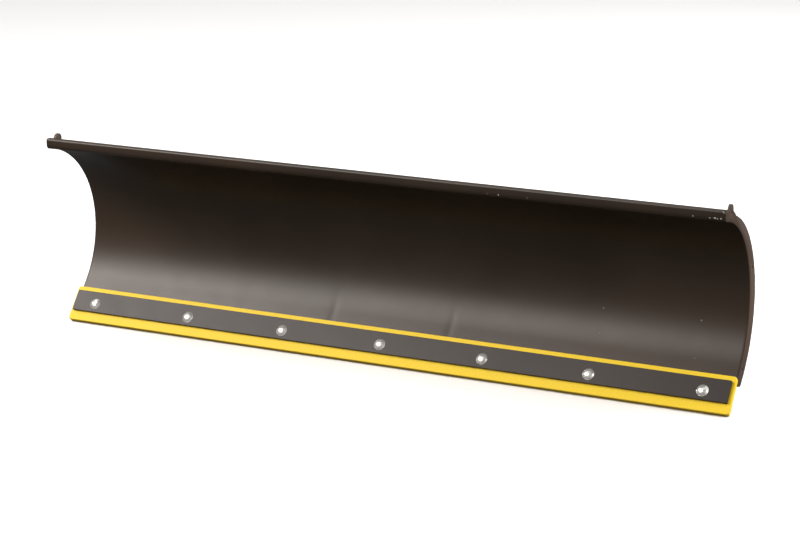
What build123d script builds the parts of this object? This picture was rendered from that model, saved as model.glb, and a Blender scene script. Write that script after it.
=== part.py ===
from build123d import *

import os
from math import cos, radians, sin

# Straight snow plow blade for an ATV: moldboard, ribs, wear bar and two mushroom skid shoes.
#
# Millimetres. X runs along the blade, Y from the working face to the back, Z up from the ground.
# The blade stands on the heel of its wear bar and on its two skid shoes, all at Z = 0. The origin
# is on the ground, at mid-length, halfway between the foremost and the rearmost point.
#
# Sections are drawn in the YZ plane from the heel, the wear bar's lower back corner. The foot is
# the straight lower part of the sheet, with the wear bar in front of it and the nuts behind it.

# Overall
WIDTH = 1524.0              # length of the rolled sheet, 60 in
ROLL_RADIUS = 198.6         # hollow face of the roll
SHEET = 3.0                 # sheet thickness
PLAY = 0.1                  # radial clearance of a pin that is pushed in by hand
RUNNING = 0.08              # radial clearance of a shaft that turns
BOLT_CLEARANCE = 0.5        # radial clearance of a bolt hole

# Foot of the sheet and the parts bolted to it; heights are measured up the foot from the heel
FOOT_LEAN = 38.0            # degrees back from the vertical
FOOT_TANGENT = 107.5        # where the straight foot meets the roll
FOOT_LOW = 21.5             # lower edge of the sheet and of the retainer strip
WEAR_LENGTH = 1527.0
WEAR_HEIGHT = 80.5
WEAR_THICK = 12.7
WEAR_CORNER = 5.0
WEAR_EDGE = 1.2
STRIP_LENGTH = 1515.0
STRIP_HEIGHT = 47.7
STRIP_THICK = 6.35
BACKING_HEIGHT = 38.0
BACKING_THICK = 5.0

# Carriage bolts, washers and lock nuts, M10
BOLT_COUNT = 7
BOLT_PITCH = 232.8
BOLT_END_PITCH = 238.6      # the outermost bolts stand a little further out
BOLT_RADIUS = 4.9
BOLT_HEAD_RADIUS = 12.2
BOLT_HEAD_HEIGHT = 5.4
NECK_OVERSIZE = 0.4         # square neck's side over the shank's diameter
BOLT_NECK_LENGTH = 6.0
BOLT_END = 3.0              # thread that stands out of the nut
NECK_CLEARANCE = 0.2
WASHER_RADIUS = 10.0
WASHER_THICK = 2.0
NUT_FLATS = 16.0
NUT_HEX_HEIGHT = 7.5
NUT_COLLAR_HEIGHT = 2.5
NUT_COLLAR_RADIUS = 7.0
NUT_BEVEL = 0.5             # the bevel on the hexagon starts this far inside the flats

# Lip along the top: up from the end of the roll, then a short return to the back
ROLL_TOP = 81.0             # degrees above the roll centre where the lip starts
LIP_FACE = 8.4
LIP_RETURN = 8.0
LIP_LOW_BEND = 9.0          # bend from the roll up into the lip, radius at mid-thickness
LIP_BEND = 3.0              # bend into the return, radius at mid-thickness

# Crescent ribs
RIB_THICK = 6.0
RIB_OUTER_RADIUS = 210.7
RIB_OUTER_SHIFT = (22.6, -3.1)   # centre of the outer arc from the roll centre
RIB_BOTTOM_SLOPE = 14.0     # degrees, falling to the back
RIB_START = 64.4            # where the rib's lower edge meets the foot
RIB_HEAD_BACK = 62.0        # plain ribs end this far behind the lip face
MID_RIB_X = 460.0
SKID_RIB_X = 667.0
EAR_RADIUS = 11.0
EAR_CENTRE = (38.5, 5.7)    # behind the lip face, below the top of the lip
EAR_HOLE_DROP = 4.5
EAR_HEEL_ANGLE = 62.0       # where the ear's back slope runs into the outer arc
SIDE_HOLE_RADIUS = 2.75
SIDE_HOLES = ((217.0, 18.0), (213.2, -38.0))   # radius and angle about the roll centre

# Pivot ribs, bosses and spring anchor
PIVOT_RIB_X = 137.0
PIVOT_RIB_THICK = 8.0
PIVOT_RIB_TOP = 62.0        # degrees above the roll centre
PIVOT_BORE_RADIUS = 8.35
PIVOT_BOSS_RADIUS = 20.0
PIVOT_BOSS_THICK = 6.0
PIVOT = (165.0, 152.0)      # Y and Z from the heel; the bolt's line runs clear above the skid shoes
PIVOT_LOBE = 34.0
PIVOT_LOBE_DROP = 1.5       # the lobe's front corner below the bore, in lobes
ANCHOR_LEG = 40.0
ANCHOR_THICK = 5.0
ANCHOR_BACK = 152.0
ANCHOR_TOP = 338.0
ANCHOR_MARGIN = 8.0
ANCHOR_HOLE_RADIUS = 5.5
ANCHOR_HOLE_PITCH = 160.0
PLATE_CORNER = 12.0

# Skid shoes: a stem in a channel bracket, spacers below and above, a linch pin through the top
SKID_Y = 176.0
SKID_STEM_RADIUS = 10.0
SKID_DISH_RADIUS = 45.0
SKID_DISH_FLAT = 30.0
SKID_DISH_RISE = 9.0
SKID_DISH_THICK = 6.0
SKID_DISH_BULGE = 0.35      # height half-way out along the rim, as a share of the rise
SKID_RIM_LEAN = 2.0         # the rim's edge leans in by this much
SKID_COLLAR_RADIUS = 16.0
SKID_COLLAR_HEIGHT = 10.0
SPACER_RADIUS = 19.0
SPACER_THICK = 6.0
SPACERS_LOWER = 4
SPACERS_UPPER = 3
BRACKET_HEIGHT = 50.0
BRACKET_WIDTH = 48.0
BRACKET_THICK = 6.0
BRACKET_REACH = 25.0        # stem axis from the bracket's web
BRACKET_BEND = 4.0
LOBE_MARGIN = 6.0           # skid rib past the bracket; its top stays below the linch pin
LINCH_RADIUS = 4.0
LINCH_GAP = 2.0             # between the pin and the uppermost spacer
LINCH_TIP = 20.0            # tip of the pin from the stem axis
LINCH_HEAD_RADIUS = 8.0
LINCH_HEAD_GAP = 1.0        # between the pin's head and the spacers
LINCH_HEAD_LENGTH = 14.0
STEM_ABOVE_PIN = 15.0
RING_WIRE = 1.6             # wire radius
RING_HALF_WIDTH = 22.0
RING_CORNER = 15.0
RING_PAST_TIP = 1.2         # gap between the pin's tip and the ring's far side

LINCH_HEAD_FRONT = SPACER_RADIUS + LINCH_HEAD_GAP    # from the stem axis
BOLT_NECK = 2 * BOLT_RADIUS + NECK_OVERSIZE
LEAN = radians(FOOT_LEAN)
FOOT = Plane(origin=(0, 0, 0), x_dir=(1, 0, 0), z_dir=(0, -cos(LEAN), sin(LEAN))).location


def foot_point(up, out):
    """Y and Z of a point up the foot from the heel and out to the front of the sheet's face."""
    return (up * sin(LEAN) - out * cos(LEAN), up * cos(LEAN) + out * sin(LEAN))


def roll_point(radius, angle):
    """Y and Z of a point at a radius and an angle in degrees about the roll centre."""
    return (ROLL_CENTRE[0] + radius * cos(radians(angle)), ROLL_CENTRE[1] + radius * sin(radians(angle)))


ROLL_CENTRE = foot_point(FOOT_TANGENT, ROLL_RADIUS)
BACK_RADIUS = ROLL_RADIUS + SHEET
MID_RADIUS = ROLL_RADIUS + SHEET / 2
LIP_MID_Y = roll_point(MID_RADIUS + LIP_LOW_BEND, ROLL_TOP)[0] - LIP_LOW_BEND
LIP_START_Z = roll_point(MID_RADIUS + LIP_LOW_BEND, ROLL_TOP)[1]
LIP_TOP_Z = LIP_START_Z + LIP_FACE + LIP_BEND
LIP_FRONT_Y = LIP_MID_Y - SHEET / 2
LIP_TOP = LIP_TOP_Z + SHEET / 2
BOLT_UP = WEAR_HEIGHT / 2       # the wear bar can be turned over, so its holes are on its centre line
STRIP_MIDDLE = FOOT_LOW + STRIP_HEIGHT / 2
STACK_FRONT = WEAR_THICK + STRIP_THICK
STACK_BACK = SHEET + BACKING_THICK
INNER_BOLTS = BOLT_COUNT - 2
INNER_BOLTS_X = [BOLT_PITCH * (i - (INNER_BOLTS - 1) / 2) for i in range(INNER_BOLTS)]
BOLTS_X = [INNER_BOLTS_X[0] - BOLT_END_PITCH, *INNER_BOLTS_X, INNER_BOLTS_X[-1] + BOLT_END_PITCH]


def slab(sketch, x_low, thickness):
    """A plate cut to a YZ sketch, from x_low towards +X."""
    return extrude(Plane.YZ.offset(x_low) * sketch, amount=thickness)


def foot_box(length, low, height, out, thick):
    """A flat bar lying along the foot, from `out` towards the front."""
    return FOOT * Pos(0, low + height / 2, out + thick / 2) * Box(length, height, thick)


def foot_holes(radius, out, depth):
    """Round holes on the bolt row, from `out` towards the front."""
    return [FOOT * Pos(x, BOLT_UP, out + depth / 2) * Cylinder(radius, depth) for x in BOLTS_X]


def both_sides(shape):
    """The right-hand piece and its mirror image on the left, solid by solid."""
    mirrored = [mirror(solid, about=Plane.YZ) for solid in shape.solids()]
    return {"right": shape, "left": Compound(children=mirrored)}


def moldboard():
    foot_low = Vector(*foot_point(FOOT_LOW, -SHEET / 2))
    foot_high = Vector(*foot_point(FOOT_TANGENT, -SHEET / 2))
    roll_mid = Vector(*roll_point(MID_RADIUS, (ROLL_TOP - FOOT_LEAN) / 2))
    roll_end = Vector(*roll_point(MID_RADIUS, ROLL_TOP))
    lip_low = Vector(LIP_MID_Y, LIP_START_Z)
    lip_high = Vector(LIP_MID_Y, LIP_START_Z + LIP_FACE)
    return_start = Vector(LIP_MID_Y + LIP_BEND, LIP_TOP_Z)
    path = Wire([
        Line(foot_low, foot_high),
        ThreePointArc(foot_high, roll_mid, roll_end),
        RadiusArc(roll_end, lip_low, LIP_LOW_BEND),
        Line(lip_low, lip_high),
        RadiusArc(lip_high, return_start, LIP_BEND),
        Line(return_start, return_start + Vector(LIP_RETURN, 0)),
    ])
    sheet = slab(trace(path, line_width=SHEET), -WIDTH / 2, WIDTH)
    return sheet - foot_holes(BOLT_RADIUS + BOLT_CLEARANCE, -2 * SHEET, 3 * SHEET)


def backing_bar():
    bar = foot_box(WIDTH - 2 * RIB_THICK, STRIP_MIDDLE - BACKING_HEIGHT / 2, BACKING_HEIGHT,
                   -STACK_BACK, BACKING_THICK)
    return bar - foot_holes(BOLT_RADIUS + BOLT_CLEARANCE, -2 * STACK_BACK, 2 * STACK_BACK)


def wear_bar():
    bar = Box(WEAR_LENGTH, WEAR_HEIGHT, WEAR_THICK)
    bar = fillet(bar.edges().filter_by(Axis.Z), WEAR_CORNER)
    bar = chamfer(bar.faces().sort_by(Axis.Z)[-1].edges(), WEAR_EDGE)
    bar = FOOT * Pos(0, WEAR_HEIGHT / 2, WEAR_THICK / 2) * bar
    return bar - foot_holes(BOLT_RADIUS + BOLT_CLEARANCE, -WEAR_THICK, 3 * WEAR_THICK)


def retainer_strip():
    strip = foot_box(STRIP_LENGTH, FOOT_LOW, STRIP_HEIGHT, WEAR_THICK, STRIP_THICK)
    hole = BOLT_NECK + 2 * NECK_CLEARANCE
    row = [FOOT * Pos(x, BOLT_UP, STACK_FRONT) * Box(hole, hole, 4 * STRIP_THICK) for x in BOLTS_X]
    return strip - row


def carriage_bolt():
    """One bolt on its own axis: the head is on +Z and seats at Z = STACK_FRONT."""
    ball = (BOLT_HEAD_RADIUS**2 + BOLT_HEAD_HEIGHT**2) / (2 * BOLT_HEAD_HEIGHT)
    head = Pos(0, 0, STACK_FRONT + BOLT_HEAD_HEIGHT - ball) * Sphere(ball)
    keep = Pos(0, 0, STACK_FRONT + BOLT_HEAD_HEIGHT / 2)
    head = head & keep * Cylinder(2 * BOLT_HEAD_RADIUS, BOLT_HEAD_HEIGHT)
    neck = Pos(0, 0, STACK_FRONT - BOLT_NECK_LENGTH / 2) * Box(BOLT_NECK, BOLT_NECK, BOLT_NECK_LENGTH)
    end = -STACK_BACK - WASHER_THICK - NUT_HEX_HEIGHT - NUT_COLLAR_HEIGHT - BOLT_END
    shank = Pos(0, 0, (STACK_FRONT + end) / 2) * Cylinder(BOLT_RADIUS, STACK_FRONT - end)
    shank = chamfer(shank.faces().sort_by(Axis.Z)[0].edges(), BOLT_RADIUS / 5)
    return head + neck + shank


def flat_washer():
    washer = Cylinder(WASHER_RADIUS, WASHER_THICK) - Cylinder(BOLT_RADIUS + BOLT_CLEARANCE, 2 * WASHER_THICK)
    return Pos(0, 0, -STACK_BACK - WASHER_THICK / 2) * washer


def lock_nut():
    hexagon = extrude(RegularPolygon(NUT_FLATS / 2, 6, major_radius=False), amount=-NUT_HEX_HEIGHT)
    inner = NUT_FLATS / 2 - NUT_BEVEL
    cone = Cone(inner, inner + NUT_HEX_HEIGHT, NUT_HEX_HEIGHT)
    hexagon = hexagon & Pos(0, 0, -NUT_HEX_HEIGHT / 2) * cone
    collar = Cylinder(NUT_COLLAR_RADIUS, NUT_COLLAR_HEIGHT)
    collar = Pos(0, 0, -NUT_HEX_HEIGHT - NUT_COLLAR_HEIGHT / 2) * collar
    collar = fillet(collar.edges().sort_by(Axis.Z)[0], NUT_COLLAR_HEIGHT / 3)
    nut = hexagon + collar - Cylinder(BOLT_RADIUS + PLAY / 2, 4 * NUT_HEX_HEIGHT)
    return Pos(0, 0, -STACK_BACK - WASHER_THICK) * nut


def on_bolt_row(fastener):
    return Compound(children=[FOOT * Pos(x, BOLT_UP, 0) * fastener for x in BOLTS_X])


def behind_sheet():
    """The YZ area behind the sheet, above the backing bar and below the lip's return."""
    start = Vector(*foot_point(RIB_START, -SHEET))
    slope = Vector(cos(radians(RIB_BOTTOM_SLOPE)), -sin(radians(RIB_BOTTOM_SLOPE)))
    tangent = Vector(*foot_point(FOOT_TANGENT, -SHEET))
    roll_mid = Vector(*roll_point(BACK_RADIUS, (ROLL_TOP - FOOT_LEAN) / 2))
    roll_top = Vector(*roll_point(BACK_RADIUS, ROLL_TOP))
    fold = Vector(LIP_MID_Y + LIP_LOW_BEND, LIP_START_Z)
    fold_angle = radians(180 + ROLL_TOP / 2)
    fold_mid = fold + Vector(cos(fold_angle), sin(fold_angle)) * (LIP_LOW_BEND - SHEET / 2)
    lip_back = LIP_FRONT_Y + SHEET
    lip_end = LIP_MID_Y + LIP_BEND + LIP_RETURN
    under = LIP_TOP - SHEET
    nip = SHEET / 2             # clears the inside of the bend into the return
    far = start + slope * WIDTH / 4
    above = under + EAR_RADIUS * 2
    return make_face([
        Line(start, tangent),
        ThreePointArc(tangent, roll_mid, roll_top),
        ThreePointArc(roll_top, fold_mid, (lip_back, LIP_START_Z)),
        Polyline((lip_back, LIP_START_Z), (lip_back, under - nip), (lip_back + nip, under), (lip_end, under),
                 (lip_end, above), (far.X, above), far, start),
    ])


def crescent():
    centre = (ROLL_CENTRE[0] + RIB_OUTER_SHIFT[0], ROLL_CENTRE[1] + RIB_OUTER_SHIFT[1])
    return Pos(*centre) * Circle(RIB_OUTER_RADIUS)


def rib_plate(outlines, middle, thick, holes=()):
    """A rib at X = middle: YZ outlines trimmed to the sheet's back and joined; holes are (Y, Z, radius)."""
    area = behind_sheet()
    low = middle - thick / 2
    plate = slab(area & outlines[0], low, thick)
    for outline in outlines[1:]:
        plate += slab(area & outline, low, thick)
    for y, z, radius in holes:
        plate -= Pos(middle, y, z) * Rot(0, 90, 0) * Cylinder(radius, 2 * thick)
    return plate


def short_crescent():
    """Ribs between the ends stop behind the lip."""
    trim = Pos(LIP_FRONT_Y + RIB_HEAD_BACK - WIDTH / 2, ROLL_CENTRE[1]) * Rectangle(WIDTH, WIDTH)
    return crescent() - trim


def end_rib():
    """The end plate fills the lip, carries the marker ear and has two holes for an extension."""
    ear = (LIP_FRONT_Y + EAR_CENTRE[0], LIP_TOP - EAR_CENTRE[1])
    heel = roll_point(RIB_OUTER_RADIUS, EAR_HEEL_ANGLE)
    under = LIP_TOP - SHEET
    head = Polygon(
        (LIP_FRONT_Y, LIP_START_Z - SHEET), heel, (ear[0] + 2 * EAR_RADIUS, ear[1] - EAR_RADIUS),
        (ear[0] + EAR_RADIUS, ear[1] - EAR_RADIUS / 3), ear, (ear[0] - EAR_RADIUS, under),
        (LIP_FRONT_Y, under), align=None)
    holes = [(ear[0], ear[1] - EAR_HOLE_DROP, SIDE_HOLE_RADIUS)]
    holes += [(*roll_point(radius, angle), SIDE_HOLE_RADIUS) for radius, angle in SIDE_HOLES]
    outlines = [crescent(), head, Pos(*ear) * Circle(EAR_RADIUS)]
    return rib_plate(outlines, (WIDTH - RIB_THICK) / 2, RIB_THICK, holes)


def mid_rib():
    return rib_plate([short_crescent()], MID_RIB_X, RIB_THICK)


def skid_levels():
    """Heights of the bracket's lower and upper faces and of the linch pin's axis."""
    low = SKID_DISH_THICK + SKID_COLLAR_HEIGHT + SPACERS_LOWER * SPACER_THICK
    high = low + BRACKET_HEIGHT
    return low, high, high + SPACERS_UPPER * SPACER_THICK + LINCH_GAP + LINCH_RADIUS


def skid_rib():
    low, high, _ = skid_levels()
    back = SKID_Y + BRACKET_WIDTH / 2 + LOBE_MARGIN
    front = foot_point(FOOT_TANGENT, 0)[0]
    lobe = Polygon((front, low - LOBE_MARGIN), (back, low - LOBE_MARGIN), (back, high + LOBE_MARGIN),
                   (front, high + LOBE_MARGIN), align=None)
    lobe = fillet(lobe.vertices(), PLATE_CORNER)
    return rib_plate([short_crescent(), lobe], SKID_RIB_X, RIB_THICK)


def pivot_rib():
    """Takes the push frame's pivot bolt below and the spring anchor above."""
    back = ANCHOR_BACK + ANCHOR_MARGIN
    lobe = PIVOT_LOBE
    plate = Polygon(
        foot_point(RIB_START, 0), (PIVOT[0] - lobe, PIVOT[1] - lobe * PIVOT_LOBE_DROP),
        (PIVOT[0] + lobe, PIVOT[1] - lobe), (PIVOT[0] + lobe, PIVOT[1] + lobe),
        (back - ANCHOR_LEG / 2, (PIVOT[1] + ANCHOR_TOP) / 2), (back, ANCHOR_TOP - 2 * ANCHOR_LEG),
        (back, ANCHOR_TOP + ANCHOR_MARGIN), roll_point(BACK_RADIUS + RIB_THICK, PIVOT_RIB_TOP),
        ROLL_CENTRE, align=None)
    plate = fillet(plate.vertices(), PLATE_CORNER)
    return rib_plate([short_crescent(), plate], PIVOT_RIB_X, PIVOT_RIB_THICK, [(*PIVOT, PIVOT_BORE_RADIUS)])


def pivot_boss():
    ring = Pos(*PIVOT) * (Circle(PIVOT_BOSS_RADIUS) - Circle(PIVOT_BORE_RADIUS))
    boss = slab(ring, PIVOT_RIB_X + PIVOT_RIB_THICK / 2, PIVOT_BOSS_THICK)
    outer = boss.faces().sort_by(Axis.X)[-1].edges().sort_by(SortBy.RADIUS)[-1]
    return chamfer(outer, PIVOT_BOSS_THICK / 4)


def spring_anchor():
    """Angle between the pivot ribs; its upright leg faces the back and takes the spring hooks."""
    leg = Rectangle(ANCHOR_THICK, ANCHOR_LEG)
    leg = Pos(ANCHOR_BACK - ANCHOR_THICK / 2, ANCHOR_TOP - ANCHOR_LEG / 2) * leg
    flat = Rectangle(ANCHOR_LEG, ANCHOR_THICK)
    flat = Pos(ANCHOR_BACK - ANCHOR_LEG / 2, ANCHOR_TOP - ANCHOR_THICK / 2) * flat
    reach = PIVOT_RIB_X - PIVOT_RIB_THICK / 2
    angle = slab(leg + flat, -reach, 2 * reach)
    middle = ANCHOR_TOP - (ANCHOR_LEG + ANCHOR_THICK) / 2
    for x in (-ANCHOR_HOLE_PITCH / 2, ANCHOR_HOLE_PITCH / 2):
        angle -= Pos(x, ANCHOR_BACK, middle) * Rot(90, 0, 0) * Cylinder(ANCHOR_HOLE_RADIUS, 4 * ANCHOR_THICK)
    return angle


def skid_axis():
    """X of the right-hand stem."""
    return SKID_RIB_X - RIB_THICK / 2 - BRACKET_THICK - BRACKET_REACH


def skid_bracket():
    low, high, _ = skid_levels()
    web_face = SKID_RIB_X - RIB_THICK / 2
    end = skid_axis() - BRACKET_REACH
    length = web_face - end
    middle = (low + high) / 2
    block = Pos((web_face + end) / 2, SKID_Y, middle) * Box(length, BRACKET_WIDTH, BRACKET_HEIGHT)
    inner_end = web_face - BRACKET_THICK
    gap_height = BRACKET_HEIGHT - 2 * BRACKET_THICK
    gap = Pos(inner_end - length, SKID_Y, middle) * Box(2 * length, 2 * BRACKET_WIDTH, gap_height)
    gap = fillet(gap.faces().sort_by(Axis.X)[-1].edges().filter_by(Axis.Y), BRACKET_BEND)
    bracket = fillet(block.faces().sort_by(Axis.X)[-1].edges().filter_by(Axis.Y), BRACKET_BEND) - gap
    bore = Cylinder(SKID_STEM_RADIUS + RUNNING, 2 * BRACKET_HEIGHT)
    return bracket - Pos(skid_axis(), SKID_Y, middle) * bore


def skid_stem():
    _, _, pin = skid_levels()
    top = pin + STEM_ABOVE_PIN
    shaft = Pos(0, 0, (top + SKID_DISH_THICK) / 2) * Cylinder(SKID_STEM_RADIUS, top - SKID_DISH_THICK)
    shaft = chamfer(shaft.faces().sort_by(Axis.Z)[-1].edges(), SKID_STEM_RADIUS / 5)
    collar = Cylinder(SKID_COLLAR_RADIUS, SKID_COLLAR_HEIGHT)
    collar = Pos(0, 0, SKID_DISH_THICK + SKID_COLLAR_HEIGHT / 2) * collar
    cross = Pos(0, 0, pin) * Rot(90, 0, 0) * Cylinder(LINCH_RADIUS + PLAY, 4 * SKID_STEM_RADIUS)
    return Pos(skid_axis(), SKID_Y, 0) * (shaft + collar - cross)


def skid_dish():
    """Pressed dish: a flat sole with a rim that rises so that it rides over bumps."""
    rise = SKID_DISH_RISE
    bulge = rise * SKID_DISH_BULGE
    middle = (SKID_DISH_FLAT + SKID_DISH_RADIUS) / 2
    rim = SKID_DISH_RADIUS - SKID_RIM_LEAN
    top = SKID_DISH_THICK
    section = make_face([
        Line((0, 0), (SKID_DISH_FLAT, 0)),
        ThreePointArc((SKID_DISH_FLAT, 0), (middle, bulge), (SKID_DISH_RADIUS, rise)),
        Line((SKID_DISH_RADIUS, rise), (rim, rise + top)),
        ThreePointArc((rim, rise + top), (middle - SKID_RIM_LEAN / 2, bulge + top), (SKID_DISH_FLAT, top)),
        Line((SKID_DISH_FLAT, top), (0, top)),
        Line((0, top), (0, 0)),
    ])
    return Pos(skid_axis(), SKID_Y, 0) * revolve(Plane.XZ * section, Axis.Z)


def spacer_stack(bottom, count):
    """Loose rings on the stem; each has its own solid with a broken outer edge."""
    ring = Cylinder(SPACER_RADIUS, SPACER_THICK)
    ring = chamfer(ring.edges().filter_by(GeomType.CIRCLE), SPACER_THICK / 10)
    ring -= Cylinder(SKID_STEM_RADIUS + BOLT_CLEARANCE, 2 * SPACER_THICK)
    heights = [bottom + SPACER_THICK * (i + 0.5) for i in range(count)]
    return Compound(children=[Pos(skid_axis(), SKID_Y, z) * ring for z in heights])


def ring_axis():
    """Y of the linch ring's hinge, in the middle of the pin's head."""
    return SKID_Y + LINCH_HEAD_FRONT + LINCH_HEAD_LENGTH / 2


def linch_pin():
    _, _, level = skid_levels()
    length = LINCH_TIP + LINCH_HEAD_FRONT
    shank = Pos(0, (LINCH_HEAD_FRONT - LINCH_TIP) / 2, 0) * Rot(90, 0, 0) * Cylinder(LINCH_RADIUS, length)
    shank = chamfer(shank.faces().sort_by(Axis.Y)[0].edges(), LINCH_RADIUS / 4)
    head = Pos(0, LINCH_HEAD_FRONT + LINCH_HEAD_LENGTH / 2, 0) * Rot(90, 0, 0)
    head = head * Cylinder(LINCH_HEAD_RADIUS, LINCH_HEAD_LENGTH)
    head = fillet(head.edges().filter_by(GeomType.CIRCLE), LINCH_HEAD_RADIUS / 5)
    pin = Pos(skid_axis(), SKID_Y, level) * (shank + head)
    cross = Rot(0, 90, 0) * Cylinder(RING_WIRE + RUNNING, 4 * LINCH_HEAD_RADIUS)
    return pin - Pos(skid_axis(), ring_axis(), level) * cross


def linch_ring():
    """Spring wire loop through the head, lying round the stem and over the pin's tip."""
    _, _, level = skid_levels()
    far = SKID_Y - LINCH_TIP - RING_PAST_TIP - RING_WIRE
    near = ring_axis()
    left, right = skid_axis() - RING_HALF_WIDTH, skid_axis() + RING_HALF_WIDTH
    corners = [(left, near, level), (left, far, level), (right, far, level), (right, near, level)]
    loop = FilletPolyline(*corners, radius=RING_CORNER - 2 * RING_WIRE, close=True)
    start = loop @ 0
    section = Plane(origin=start, z_dir=loop % 0) * Circle(RING_WIRE)
    return sweep(section, path=loop)


def all_pieces():
    low, high, _ = skid_levels()
    single = {
        "moldboard": moldboard(),
        "backing_bar": backing_bar(),
        "wear_bar": wear_bar(),
        "retainer_strip": retainer_strip(),
        "wear_bar_bolts": on_bolt_row(carriage_bolt()),
        "wear_bar_washers": on_bolt_row(flat_washer()),
        "wear_bar_nuts": on_bolt_row(lock_nut()),
        "spring_anchor": spring_anchor(),
    }
    paired = {
        "end_rib": end_rib(),
        "mid_rib": mid_rib(),
        "skid_rib": skid_rib(),
        "pivot_rib": pivot_rib(),
        "pivot_boss": pivot_boss(),
        "skid_bracket": skid_bracket(),
        "skid_stem": skid_stem(),
        "skid_dish": skid_dish(),
        "skid_spacers_lower": spacer_stack(low - SPACERS_LOWER * SPACER_THICK, SPACERS_LOWER),
        "skid_spacers_upper": spacer_stack(high, SPACERS_UPPER),
        "linch_pin": linch_pin(),
        "linch_ring": linch_ring(),
    }
    for name, shape in paired.items():
        for side, piece in both_sides(shape).items():
            single[f"{name}_{side}"] = piece
    return single


pieces = all_pieces()
boxes = [shape.bounding_box() for shape in pieces.values()]
front, back = min(box.min.Y for box in boxes), max(box.max.Y for box in boxes)
shift = -(front + back) / 2
os.makedirs("parts", exist_ok=True)
for name, shape in pieces.items():
    export_step(Pos(0, shift, 0) * shape, f"parts/{name}.step")
print(f"{len(pieces)} pieces, moved {shift:.3f} mm in Y, {back - front:.1f} mm deep")
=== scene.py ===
# %% [markdown]
# # A straight snow plow blade for an ATV
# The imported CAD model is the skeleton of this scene: it says where every piece is and how the two
# skid shoes turn. The cells below put a finished surface on each piece: rolled sheet, sawn plastic,
# powder coat, zinc and weld. Everything is in metres, X along the blade, Y to its back, Z up.

# %% Load the frame
from math import asin, cos, pi, radians, sin

import bpy
import bmesh
from mathutils import Matrix, Vector


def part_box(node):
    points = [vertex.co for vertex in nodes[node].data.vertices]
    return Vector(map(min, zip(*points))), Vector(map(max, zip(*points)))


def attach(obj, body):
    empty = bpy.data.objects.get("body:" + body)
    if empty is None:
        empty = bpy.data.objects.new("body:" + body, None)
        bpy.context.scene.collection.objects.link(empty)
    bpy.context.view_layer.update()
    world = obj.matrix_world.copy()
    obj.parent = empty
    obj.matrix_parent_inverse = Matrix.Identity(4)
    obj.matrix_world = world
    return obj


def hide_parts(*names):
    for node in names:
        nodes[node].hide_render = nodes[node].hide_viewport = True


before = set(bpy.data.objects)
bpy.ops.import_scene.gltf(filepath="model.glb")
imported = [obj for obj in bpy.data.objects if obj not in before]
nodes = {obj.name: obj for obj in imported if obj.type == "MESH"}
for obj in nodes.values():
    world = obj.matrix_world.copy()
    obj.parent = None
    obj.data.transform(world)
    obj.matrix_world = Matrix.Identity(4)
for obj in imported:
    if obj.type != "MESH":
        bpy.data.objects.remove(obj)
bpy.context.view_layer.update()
MM = 0.001

# %% [markdown]
# The camera stands off the blade's right-hand end with a long lens, so that the far end shrinks
# only a little. Its place is counted from the heel, the edge on which the wear bar stands.

# %% Camera
FOOT_LEAN = radians(38.0)            # the blade's straight foot leans back from the vertical
FOOT_LOW = 21.5 * MM                 # lower edge of the sheet and the strip, up the foot
WEAR_THICK = 12.7 * MM
STRIP_THICK = 6.35 * MM
STRIP_OUT = (WEAR_THICK + STRIP_THICK) * cos(FOOT_LEAN) - FOOT_LOW * sin(FOOT_LEAN)
HEEL_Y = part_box("retainer_strip")[0].y + STRIP_OUT   # the strip's lower front corner is sharp
CAMERA_PLACE = (2.0, HEEL_Y - 4.008, 1.411)
CAMERA_TILT = radians(75.04)
CAMERA_TURN = radians(25.92)
CAMERA_LENS = 101.2

camera_data = bpy.data.cameras.new("camera")
camera_data.lens = CAMERA_LENS
camera_data.sensor_width = 36.0
camera = bpy.data.objects.new("camera", camera_data)
camera.location = CAMERA_PLACE
camera.rotation_euler = (CAMERA_TILT, 0.0, CAMERA_TURN)
bpy.context.scene.collection.objects.link(camera)
bpy.context.scene.camera = camera
print("camera at", CAMERA_PLACE)

# %% [markdown]
# The studio is a pale floor under soft light. The rolled face is a hollow mirror of a kind: its
# lower third faces up and shows the lamps on the left, and the rest curls over and faces the dim
# room. One wide lamp overhead lights the floor. A soft box stands where the foot of the blade
# mirrors it into the camera from its left end, a wider and lower one does the same for the lower
# third of the roll, and two more light the ribs and the right-hand end plate. The floor shines
# back on nothing, because a pale floor would grey the black coat.

# %% Floor and light
scene = bpy.context.scene
scene.view_settings.view_transform = "Standard"
scene.view_settings.look = "None"


def lamp(name, kind, power, direction, place=(0.0, 0.0, 0.0)):
    """A lamp that shines along `direction`; returns its data, for the settings of its kind."""
    data = bpy.data.lights.new(name, kind)
    data.energy = power
    light = bpy.data.objects.new(name, data)
    light.location = place
    light.rotation_euler = Vector(direction).to_track_quat("-Z", "Y").to_euler()
    scene.collection.objects.link(light)
    return data


def soft_box(name, place, aim, size, power, colour=(1.0, 1.0, 1.0)):
    """A square or oblong area light at `place` that shines at `aim`."""
    data = lamp(name, "AREA", power, Vector(aim) - Vector(place), place)
    data.shape = "RECTANGLE"
    data.size, data.size_y = size
    data.color = colour


def plain_floor(half, colour):
    mesh = bpy.data.meshes.new("floor")
    corners = [(-half, -half, 0.0), (half, -half, 0.0), (half, half, 0.0), (-half, half, 0.0)]
    mesh.from_pydata(corners, [], [(0, 1, 2, 3)])
    floor = bpy.data.objects.new("floor", mesh)
    scene.collection.objects.link(floor)
    paint = bpy.data.materials.new("floor_paint")
    paint.use_nodes = True
    shader = paint.node_tree.nodes["Principled BSDF"]
    shader.inputs["Base Color"].default_value = (*colour, 1.0)
    shader.inputs["Roughness"].default_value = 0.9
    mesh.materials.append(paint)
    return floor


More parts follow.
